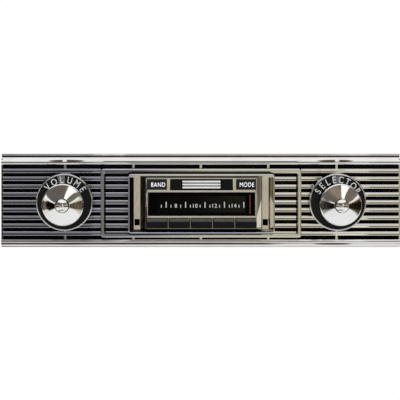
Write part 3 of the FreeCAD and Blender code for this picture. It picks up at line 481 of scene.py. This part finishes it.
def ring_plate_material():
    """Chrome rim outside, black enamel on the face inside it, with a painted highlight: a narrow sheen towards
    the top.
    """
    made, t = named("ring_plating")
    place, x, y, z = t.place()
    dx = t.math("SUBTRACT", t.off(x), control_x)
    dz = t.math("SUBTRACT", z, control_z)
    inner = t.fall(t.length(dx, dz), 26.85, 0.05)
    grain = t.noise(place, 900.0, 3.0)
    side = t.math("SIGN", x)
    lean = t.math("SUBTRACT", x, t.math("MULTIPLY", side, control_x))
    lean = t.math("DIVIDE", lean, t.math("MAXIMUM", dz, 1.0))
    lean = t.off(lean, t.math("MULTIPLY_ADD", side, 0.06, -0.07))
    # Painted highlight: a lighter patch of enamel towards the top.
    sheen = t.product(t.span(lean, 0.17, 0.12), t.span(dz, 0.0, 5.0))
    black = t.mix(grain, (0.004, 0.004, 0.005), (0.009, 0.009, 0.010))
    enamel = t.surface(Base_Color=t.mix(sheen, black, (0.13, 0.13, 0.13)), Roughness=0.30,
                       Normal=t.bump(grain, 0.06, 0.0002), Specular_IOR_Level=0.15)
    rub = t.span(t.noise(place, 700.0, 4.0), 0.4, 0.8, 0.04, 0.12)
    t.end(t.blend(inner, t.surface(Base_Color=(0.82, 0.82, 0.82), Metallic=1.0, Roughness=rub), enamel))
    return made


# Colour of painted shade and dark reflection on the nose's side walls and key bars.
NOSE_PAINTED_SHADE = (0.10, 0.068, 0.050)
# Colour of painted dark reflection on the knobs' cone sides and of painted shade round their bosses.
KNOB_PAINTED_REFLECTION_AND_SHADE = (0.11, 0.09, 0.065)
chrome_panel = chrome("panel_chrome", (0.84, 0.84, 0.84), 0.05, recess_paint,
                      shaded=moulding_shade, toned=rib_painted_reflection)
chrome_insert = chrome("insert_chrome", (0.79, 0.785, 0.77), 0.05, recess_paint, toned=rib_painted_reflection)
chrome_nose = chrome("nose_chrome", (0.80, 0.785, 0.74), 0.05, wave=0.16,
                     shaded=nose_shade, toned=nose_painted_highlight, darker=NOSE_PAINTED_SHADE)
chrome_bezel = chrome("bezel_chrome", (0.80, 0.785, 0.75), 0.05, bezel_top_painted_reflection, 0.16, bezel_shade, lip_painted_reflection)
chrome_knob = chrome("knob_chrome", (0.90, 0.90, 0.89), 0.025, wave=0.02, shaded=knob_shade, darker=KNOB_PAINTED_REFLECTION_AND_SHADE)
ring_material = ring_plate_material()
key_black = key_plastic()
gloss_black = plastic("gloss_black", (0.002, 0.002, 0.003), (0.004, 0.004, 0.005), 0.12, 600.0, 0.02, 0.12)
moulded_black = plastic("moulded_black", (0.012, 0.012, 0.012), (0.024, 0.024, 0.024), 0.45)
light_box = plastic("light_box_plastic", (0.55, 0.54, 0.50), (0.62, 0.61, 0.57), 0.5)
nylon = plastic("nylon", (0.62, 0.60, 0.53), (0.72, 0.70, 0.63), 0.42)
board_green = plastic("solder_mask", (0.012, 0.085, 0.035), (0.02, 0.12, 0.05), 0.3, 700.0, 0.08, 0.6)
lead_rubber = plastic("lead_rubber", (0.012, 0.012, 0.012), (0.03, 0.03, 0.03), 0.5, 900.0, 0.2)
dial_print = lit_print("dial_print", (0.70, 0.71, 0.74), (0.85, 0.86, 0.89), 0.85)
label_print = lit_print("label_print", (0.80, 0.81, 0.84), (0.88, 0.89, 0.92), 0.30)
silver_white = sheet_metal("satin_silver", (0.80, 0.80, 0.83), 0.35, (1.0, 1.0, 1.0), 0.4)
letter_silver = sheet_metal("letter_silver", (0.66, 0.66, 0.68), 0.30, (4.0, 4.0, 1.0), 0.25)
zinc = sheet_metal("zinc_sheet", (0.56, 0.56, 0.55), 0.34)
turned_steel = sheet_metal("turned_steel", (0.60, 0.60, 0.60), 0.24, (1.0, 12.0, 1.0))
spring_wire = sheet_metal("spring_wire", (0.32, 0.32, 0.33), 0.3)
alloy_black = sheet_metal("anodised_black", (0.030, 0.030, 0.033), 0.42, (1.0, 1.0, 10.0), 0.6)
alloy_can = sheet_metal("drawn_can", (0.66, 0.66, 0.68), 0.3, (6.0, 6.0, 1.0))
choke_iron = sheet_metal("choke_varnish", (0.10, 0.075, 0.05), 0.45, (1.0, 1.0, 16.0), 0.5)
dial_black = dial_face()
pointer_red = pointer_paint()
window_smoke = smoked_window()
bulb_glass = clear_glass()
cord_brown = cord_fibre()


# ---------------------------------------------------------------- pieces
def finish_piece(piece, material, body):
    """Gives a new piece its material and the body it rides."""
    piece.data.materials.clear()
    piece.data.materials.append(material)
    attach(piece, body)


def new_piece(name, bm, smooth_angle=35.0):
    """Object from a bmesh, smooth but for its sharp edges."""
    bmesh.ops.recalc_face_normals(bm, faces=bm.faces)
    limit = math.radians(smooth_angle)
    for face in bm.faces:
        face.smooth = True
    for edge in bm.edges:
        edge.smooth = len(edge.link_faces) == 2 and edge.calc_face_angle(0.0) < limit
    mesh = bpy.data.meshes.new(name)
    bm.to_mesh(mesh)
    bm.free()
    piece = bpy.data.objects.new(name, mesh)
    bpy.context.collection.objects.link(piece)
    return piece


def weld_and_flatten(bm):
    """Joins the vertices that the CAD's facets share, and merges flat facets."""
    bmesh.ops.remove_doubles(bm, verts=bm.verts, dist=2e-6)
    bmesh.ops.dissolve_limit(bm, angle_limit=math.radians(0.6), verts=bm.verts, edges=bm.edges)


def detail(node, material, width, segments=2, front=None):
    """Replaces a CAD node by the same shape with its sharp edges rounded by width millimetres.

    With front, only the edges before that y are rounded.
    """
    bm = bmesh.new()
    bm.from_mesh(nodes[node].data)
    weld_and_flatten(bm)
    limit = math.radians(35.0)
    sharp = [e for e in bm.edges if len(e.link_faces) == 2 and e.calc_face_angle(0.0) > limit]
    if front is not None:
        sharp = [e for e in sharp if max(v.co.y for v in e.verts) < front]
    bmesh.ops.bevel(bm, geom=sharp, offset=width * MM, offset_type="OFFSET", segments=segments,
                    profile=0.5, affect="EDGES", clamp_overlap=False)
    piece = new_piece(node + "_shape", bm)
    finish_piece(piece, material, body_names[node])
    piece.modifiers.new("normals", "WEIGHTED_NORMAL").keep_sharp = True
    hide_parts(node)


def keep(node, material):
    """Leaves a CAD node as it is and gives it a material."""
    item = nodes[node]
    item.data.materials.clear()
    item.data.materials.append(material)


# ---------------------------------------------------------------- text and print
def word_mesh(text, height, depth, width_scale=1.0, spacing=1.0, weight=0.0):
    """Closed mesh of a word in the XZ plane, centred, its back at y = 0 and its face at y = -depth."""
    curve = bpy.data.curves.new("word", "FONT")
    curve.body = text
    curve.size = 1.0
    curve.align_x = "CENTER"
    curve.extrude = 0.5
    curve.offset = weight
    curve.space_character = spacing
    item = bpy.data.objects.new("word", curve)
    bpy.context.collection.objects.link(item)
    bpy.context.view_layer.update()
    mesh = bpy.data.meshes.new_from_object(item)
    bpy.data.objects.remove(item)
    bm = bmesh.new()
    bm.from_mesh(mesh)
    bpy.data.meshes.remove(mesh)
    bmesh.ops.remove_doubles(bm, verts=bm.verts, dist=1e-5)
    low = Vector([min(v.co[i] for v in bm.verts) for i in range(3)])
    high = Vector([max(v.co[i] for v in bm.verts) for i in range(3)])
    scale = height / (high.y - low.y)
    middle = (low + high) / 2
    for v in bm.verts:
        x = (v.co.x - middle.x) * scale * width_scale
        z = (v.co.y - middle.y) * scale
        y = -depth if v.co.z > 0 else 0.0
        v.co = Vector((x, y, z))
    return bm


def add_bm(target, source, matrix):
    """Copies one bmesh into another, moved by a matrix."""
    mesh = bpy.data.meshes.new("part")
    source.to_mesh(mesh)
    mesh.transform(matrix)
    target.from_mesh(mesh)
    bpy.data.meshes.remove(mesh)
    source.free()


def add_block(bm, x0, x1, y0, y1, z0, z1):
    """Adds a box between two places on each axis."""
    made = bmesh.ops.create_cube(bm, size=1.0)
    middle = Vector(((x0 + x1) / 2, (y0 + y1) / 2, (z0 + z1) / 2))
    for v in made["verts"]:
        v.co = Vector((v.co.x * (x1 - x0), v.co.y * (y1 - y0), v.co.z * (z1 - z0))) + middle


def lathe(name, profile, x, z, segments=144):
    """Closed turned piece about the Y axis from (radius, y) points in millimetres."""
    bm = bmesh.new()
    rings = []
    for radius, y in profile:
        if radius < 1e-6:
            rings.append([bm.verts.new((x, y * MM, z))])
            continue
        ring = []
        for i in range(segments):
            turn = 2 * math.pi * i / segments
            right, up = radius * MM * math.cos(turn), radius * MM * math.sin(turn)
            ring.append(bm.verts.new((x + right, y * MM, z + up)))
        rings.append(ring)
    closed = len(rings[0]) > 1
    pairs = list(zip(rings, rings[1:])) + ([(rings[-1], rings[0])] if closed else [])
    for a, b in pairs:
        for i in range(segments):
            k = (i + 1) % segments
            corners = [a[i % len(a)], a[k % len(a)], b[k % len(b)], b[i % len(b)]]
            unique = list(dict.fromkeys(corners))
            if len(unique) > 2:
                bm.faces.new(unique)
    return new_piece(name, bm, 30.0)


def arc_points(start, via, end, count):
    """Points along the circle through three (radius, y) points, without the first."""
    ax, ay = start
    bx, by = via
    cx, cy = end
    aa = ax * ax + ay * ay
    bb = bx * bx + by * by
    cc = cx * cx + cy * cy
    d = 2 * (ax * (by - cy) + bx * (cy - ay) + cx * (ay - by))
    ux = (aa * (by - cy) + bb * (cy - ay) + cc * (ay - by)) / d
    uy = (aa * (cx - bx) + bb * (ax - cx) + cc * (bx - ax)) / d
    radius = math.hypot(ax - ux, ay - uy)
    a0 = math.atan2(ay - uy, ax - ux)
    a1 = math.atan2(by - uy, bx - ux)
    a2 = math.atan2(cy - uy, cx - ux)
    full_turn = 2 * math.pi
    span = (a2 - a0) % full_turn
    if (a1 - a0) % full_turn > span:
        span -= full_turn
    return [(ux + radius * math.cos(a0 + span * i / count), uy + radius * math.sin(a0 + span * i / count))
            for i in range(1, count + 1)]


# ---------------------------------------------------------------- chrome front
detail("trim_panel", chrome_panel, 0.12, 2)
detail("insert_plate", chrome_insert, 0.12, 2)
detail("bezel", chrome_bezel, 0.25, 3)
detail("nose_frame", chrome_nose, 0.38, 4, front=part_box("nose_frame")[0].y + 0.6 * MM)

for node in ("volume_knob", "selector_knob"):
    low, high = box_mm(node)
    middle = (low + high) / 2 * MM
    tip = low.y
    back = high.y
    radius = (high.x - low.x) / 2
    dome = [(0.0, tip)] + arc_points((0.0, tip), (4.0, tip + 0.98), (6.2, tip + 2.6), 14)
    neck = [(6.45, tip + 3.2), (6.5, tip + 3.9), (6.6, tip + 4.0), (7.0, tip + 4.0)]
    flank = [(7.2, tip + 4.02), (7.6, tip + 4.13), (19.2, tip + 7.05)]
    rim = arc_points((19.2, tip + 7.05), (20.25, tip + 7.5), (radius, tip + 8.5), 12)
    skirt = [(19.0, back - 0.8), (18.6, back - 0.2), (18.0, back), (16.5, back), (15.5, tip + 9.6),
             (6.2, tip + 9.6), (6.2, back - 0.6), (3.02, back - 0.6), (3.02, tip + 6.6), (0.0, tip + 6.6)]
    piece = lathe(node + "_shape", dome + neck + flank + rim + skirt, middle.x, middle.z)
    finish_piece(piece, chrome_knob, body_names[node])
    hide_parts(node)


# ---------------------------------------------------------------- ring escutcheons
for node in ("volume_ring", "selector_ring"):
    low, high = box_mm(node)
    middle = (low + high) / 2 * MM
    front = low.y
    back = high.y
    outer = (high.x - low.x) / 2
    rim = [(26.8, front + 1.0), (27.2, front + 0.3)]
    rim += arc_points((27.2, front + 0.3), (27.5, front), (28.0, front), 5)
    rim += arc_points((28.0, front), (28.35, front + 0.2), (outer, front + 0.7), 5)
    profile = [(5.2, back), (5.2, back - 2), (13.0, back - 2), (13.0, front + 1.1), (13.1, front + 1.0)] + rim
    profile += [(outer, back), (26.7, back), (26.7, front + 2.6), (14.6, front + 2.6), (14.6, back)]
    piece = lathe(node + "_shape", profile, middle.x, middle.z)
    finish_piece(piece, ring_material, body_names[node])
    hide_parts(node)


LETTER_HEIGHT = 6.7 * MM
LETTER_DEPTH = 0.22 * MM
LETTER_WIDTH = 0.82            # of the typeface's own width
LETTER_WEIGHT = 0.008
LETTER_RADIUS = 22.6 * MM
ring_face_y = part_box("volume_ring")[0].y + 1.0 * MM


def arc_word(text, centre_x, half_span, lean):
    """Raised letters round the top of a ring, each upright on its own radius.

    They reach half_span degrees to each side, and the whole word is turned by lean degrees.
    """
    bm = bmesh.new()
    last = len(text) - 1
    for i, letter in enumerate(text):
        turn = math.radians(half_span) * (2 * i / last - 1) + math.radians(lean)
        glyph = word_mesh(letter, LETTER_HEIGHT, LETTER_DEPTH, LETTER_WIDTH, weight=LETTER_WEIGHT)
        right, up = LETTER_RADIUS * math.sin(turn), LETTER_RADIUS * math.cos(turn)
        spot = Vector((centre_x * MM + right, ring_face_y, control_z * MM + up))
        add_bm(bm, glyph, Matrix.Translation(spot) @ Matrix.Rotation(turn, 4, "Y"))
    return new_piece(text.lower() + "_letters", bm, 30.0)


for text, x, half_span, lean in (("VOLUME", -control_x, 51.5, 3.5), ("SELECTOR", control_x, 61.0, 0.0)):
    finish_piece(arc_word(text, x, half_span, lean), letter_silver, "frame")


# ---------------------------------------------------------------- keys
PRINT_THICKNESS = 0.12 * MM
for number in range(1, 6):
    detail("preset_button_%d" % number, key_black, 0.25, 2)
for node, word in (("band_button", "BAND"), ("mode_button", "MODE")):
    detail(node, key_black, 0.15, 2)
    low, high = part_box(node)
    middle = (low + high) / 2
    bm = bmesh.new()
    glyphs = word_mesh(word, 4.2 * MM, PRINT_THICKNESS, 0.80, 1.10, -0.004)
    add_bm(bm, glyphs, Matrix.Translation(Vector((middle.x + 1.0 * MM, low.y, middle.z))))
    piece = new_piece(node + "_label", bm, 30.0)
    finish_piece(piece, label_print, body_names[node])


# ---------------------------------------------------------------- dial
detail("dial_plate", dial_black, 0.05, 1)
detail("dial_lens", window_smoke, 0.1, 2)
detail("emblem_plate", gloss_black, 0.12, 2)
detail("emblem_bars", silver_white, 0.12, 2)
detail("pointer", pointer_red, 0.08, 2)

TICK_PITCH = 4.875 * MM        # four of them from one number to the next
TICK_START = -35.0 * MM
TICK_FOOT = -4.8 * MM
LONG_TICK = (0.42 * MM, 0.9 * MM)       # half width, top
SHORT_TICK = (0.32 * MM, -1.9 * MM)
DIGIT_HEIGHT = 3.9 * MM
DIGIT_MIDDLE = -2.9 * MM
dial_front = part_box("dial_plate")[0].y
bm = bmesh.new()
for i in range(-1, 17):
    if i % 4 == 2:
        continue    # a number stands here
    half_width, top = SHORT_TICK if i % 2 else LONG_TICK
    x = TICK_START + i * TICK_PITCH
    add_block(bm, x - half_width, x + half_width, dial_front - PRINT_THICKNESS, dial_front, TICK_FOOT, top)
for i, number in ((2, "8"), (6, "10"), (10, "12"), (14, "14")):
    glyphs = word_mesh(number, DIGIT_HEIGHT, PRINT_THICKNESS, 1.0, 1.12)
    add_bm(bm, glyphs, Matrix.Translation(Vector((TICK_START + i * TICK_PITCH, dial_front, DIGIT_MIDDLE))))
finish_piece(new_piece("dial_scale_print", bm, 30.0), dial_print, "frame")


# ---------------------------------------------------------------- everything behind the panel
for node, material, width in (
    ("mounting_plate", zinc, 0.15), ("chassis_tray", zinc, 0.2), ("chassis_cover", zinc, 0.2),
    ("rear_panel", zinc, 0.15), ("rail_brackets", zinc, 0.15), ("standoffs", turned_steel, 0.2),
    ("heat_sink", alloy_black, 0.2), ("power_connector", moulded_black, 0.2),
    ("fuse_holder", moulded_black, 0.3), ("dial_housing", light_box, 0.15), ("button_guide", nylon, 0.15),
    ("pointer_carriage", nylon, 0.15), ("filter_choke", choke_iron, 0.2), ("tuner_can", alloy_can, 0.2),
    ("output_transistors", moulded_black, 0.15), ("main_board", board_green, 0.1),
    ("preset_board", board_green, 0.1), ("function_board", board_green, 0.1),
    ("volume_control", turned_steel, 0.2), ("selector_bearing", turned_steel, 0.2),
    ("rear_stud", turned_steel, 0.2), ("control_nuts", turned_steel, 0.15),
):
    detail(node, material, width)
for node, material in (
    ("dial_lamps", bulb_glass), ("preset_switches", moulded_black),
    ("function_switches", moulded_black), ("volume_shaft", turned_steel), ("selector_shaft", turned_steel),
    ("control_washers", turned_steel), ("idler_pin", turned_steel), ("carriage_rail", turned_steel),
    ("antenna_socket", turned_steel), ("front_screws", turned_steel), ("chassis_screws", turned_steel),
    ("capacitors", alloy_can), ("drive_drum", nylon), ("idler_pulley", nylon), ("dial_cord", cord_brown),
    ("wiring_pigtail", lead_rubber), ("volume_cable", lead_rubber),
):
    keep(node, material)


SPRING_REACH = 5.0 * MM        # from a key's middle, sideways: past its own spring, short of the next one


def return_spring(number):
    """One return spring out of the CAD's group of five."""
    low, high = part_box("preset_button_%d" % number)
    middle_x = (low.x + high.x) / 2
    bm = bmesh.new()
    bm.from_mesh(nodes["preset_springs"].data)
    others = [v for v in bm.verts if abs(v.co.x - middle_x) > SPRING_REACH]
    bmesh.ops.delete(bm, geom=others, context="VERTS")
    bmesh.ops.remove_doubles(bm, verts=bm.verts, dist=2e-6)
    piece = new_piece("return_spring_%d" % number, bm, 40.0)
    finish_piece(piece, spring_wire, body_names["preset_springs"])
    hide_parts("preset_springs")
    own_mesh(piece)


for number in range(1, 6):
    return_spring(number)


# ---------------------------------------------------------------- floor, light, camera
def pale_floor():
    """Plain pale floor: seen as paper white, with a trace of grain."""
    made, t = named("pale_floor")
    place = t.place()[0]
    grain = t.noise(place, 30.0, 3.0)
    paper = t.mix(grain, (0.985, 0.985, 0.985), (1.0, 1.0, 1.0))
    seen = t.add("ShaderNodeEmission", Color=paper, Strength=1.02).outputs[0]
    lit = t.surface(Base_Color=(0.85, 0.85, 0.85), Roughness=0.8)
    camera_ray = t.add("ShaderNodeLightPath").outputs["Is Camera Ray"]
    t.end(t.blend(camera_ray, lit, seen))
    return made


FLOOR_DROP = 0.25              # metres from the lowest point of the radio to the floor
FLOOR_REACH = 6.0
bm = bmesh.new()
floor_place = Matrix.Translation(Vector((0, 0, cad_box[0].z - FLOOR_DROP)))
bmesh.ops.create_grid(bm, x_segments=2, y_segments=2, size=FLOOR_REACH, matrix=floor_place)
floor = new_piece("floor", bm)
floor.data.materials.append(pale_floor())
floor.visible_glossy = False


def studio_world():
    """White seen directly. Bright metal sees a studio instead, by the direction (x, y, z) that it mirrors."""
    world = bpy.data.worlds.new("studio")
    bpy.context.scene.world = world
    t = Tree(world)
    direction = t.add("ShaderNodeTexCoord").outputs["Generated"]
    x, y, z = t.split(direction)
    patches = t.noise(direction, 3.2, 3.0)

    # the room at the radio's height: a lit middle, cool on the left and warm on the right, and dim sides
    lit = t.mix(t.span(x, -0.20, 0.02), (0.13, 0.13, 0.16), (0.56, 0.53, 0.42))
    side = t.mix(t.span(x, -0.5, 0.5), (0.020, 0.014, 0.010), (0.060, 0.052, 0.028))
    side = t.mix(t.span(patches, 0.52, 0.64), side, (0.30, 0.17, 0.09))
    away = t.largest(t.span(x, -0.185, -0.225), t.span(x, 0.325, 0.370))
    horizon = t.mix(away, lit, side)
    horizon = t.mix(t.window(x, -0.52, -0.49, -0.40, -0.37), horizon, (0.80, 0.77, 0.68))

    # above it a dim wall, a bright edge low on both sides, and the overhead softbox
    upper = t.mix(t.span(x, -0.3, 0.3), (0.13, 0.115, 0.10), (0.17, 0.15, 0.12))
    upper = t.mix(t.span(patches, 0.56, 0.70), upper, (0.30, 0.24, 0.18))
    colour = t.mix(t.span(z, -0.10, -0.05), horizon, upper)
    edge = t.product(t.window(z, -0.10, -0.075, -0.045, -0.02), t.span(t.off(x), 0.16, 0.22))
    colour = t.mix(edge, colour, (0.95, 0.95, 0.95))
    colour = t.mix(t.span(z, 0.52, 0.62), colour, (1.0, 1.0, 1.0))

    # below it the pale table, the radio's own shade on it straight down, and white behind the radio
    colour = t.mix(t.span(z, -0.34, -0.40), colour, (0.88, 0.88, 0.89))
    under = t.mix(t.span(t.off(x, -0.02), 0.05, 0.17), (0.10, 0.088, 0.085), (0.34, 0.32, 0.30))
    under = t.mix(t.span(x, 0.12, 0.26), under, (0.72, 0.72, 0.72))
    under = t.mix(t.span(z, -0.90, -0.96), under, (0.84, 0.84, 0.83))
    colour = t.mix(t.span(z, -0.74, -0.82), colour, under)
    behind = t.product(t.span(y, 0.05, 0.20), t.span(z, -0.12, -0.20))
    colour = t.mix(behind, colour, (1.0, 1.0, 1.0))

    glossy = t.add("ShaderNodeBackground", Color=colour, Strength=1.0).outputs[0]
    soft = t.add("ShaderNodeBackground", Color=(1.0, 1.0, 1.0), Strength=0.55).outputs[0]
    seen = t.add("ShaderNodeBackground", Color=(1.0, 1.0, 1.0), Strength=1.02).outputs[0]
    path = t.add("ShaderNodeLightPath").outputs
    shader = t.blend(path["Is Glossy Ray"], soft, glossy)
    shader = t.blend(path["Is Camera Ray"], shader, seen)
    out = t.add("ShaderNodeOutputWorld")
    t.tree.links.new(shader, out.inputs["Surface"])


def softbox(name, place, target, size, power, mirrored=False):
    """Rectangular light aimed at a target. Metal only mirrors it where mirrored is set."""
    data = bpy.data.lights.new(name, "AREA")
    data.shape = "RECTANGLE"
    data.size, data.size_y = size
    data.energy = power
    item = bpy.data.objects.new(name, data)
    item.location = place
    item.rotation_euler = (Vector(target) - Vector(place)).to_track_quat("-Z", "Y").to_euler()
    item.visible_camera = False
    item.visible_glossy = mirrored
    bpy.context.collection.objects.link(item)


CARD_SIZE = (0.045, 0.075)
CARD_DISTANCE = 0.25


def knob_streak(node, toward):
    """Small lit card near one knob: the pale streak that its cone mirrors."""
    low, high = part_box(node)
    knob = Vector(((low.x + high.x) / 2, low.y, (low.z + high.z) / 2))
    place = knob + Vector(toward).normalized() * CARD_DISTANCE
    power_as_bright_as_white = math.pi * CARD_SIZE[0] * CARD_SIZE[1]
    softbox(node + "_card", place, knob, CARD_SIZE, power_as_bright_as_white, True)


studio_world()
knob_streak("volume_knob", (0.09, -0.97, 0.20))
knob_streak("selector_knob", (0.33, -0.92, 0.22))
softbox("key_light", (0.1, -0.5, 0.9), (0, 0, 0), (1.2, 0.6), 9.0)
softbox("fill_light", (-0.8, -0.7, 0.3), (0, 0, 0), (0.6, 0.6), 3.0)
softbox("back_light", (0.2, 0.9, 0.7), (0, 0.05, 0), (1.0, 0.6), 5.0)
bpy.context.scene.view_settings.view_transform = "Standard"


CAMERA_DISTANCE = 0.700        # metres in front of the rings
CAMERA_X = -0.03635
CAMERA_Z = 0.1524
SEEN_WIDTH = 0.400             # metres across the picture at the rings
SENSOR = 36.0


def photo_camera():
    """Level camera above and left of the middle, with a shifted frame.

    The shift is driven by the camera's own place, so it goes when the camera is moved.
    """
    ring_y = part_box("volume_ring")[0].y
    data = bpy.data.cameras.new("camera")
    camera = bpy.data.objects.new("camera", data)
    camera.location = (CAMERA_X, ring_y - CAMERA_DISTANCE, CAMERA_Z)
    camera.rotation_euler = (math.radians(90), 0, 0)
    data.sensor_width = SENSOR
    data.lens = SENSOR * CAMERA_DISTANCE / SEEN_WIDTH
    bpy.context.collection.objects.link(camera)
    bpy.context.scene.camera = camera
    for channel, amount in (("shift_x", 0.088), ("shift_y", -0.3725)):
        driver = data.driver_add(channel).driver
        driver.type = "SCRIPTED"
        place = driver.variables.new()
        place.name = "y"
        place.type = "SINGLE_PROP"
        place.targets[0].id = camera
        place.targets[0].data_path = "location[1]"
        driver.expression = "%.6f if abs(y - %.6f) < 0.0005 else 0.0" % (amount, camera.location[1])


photo_camera()

bpy.context.view_layer.update()
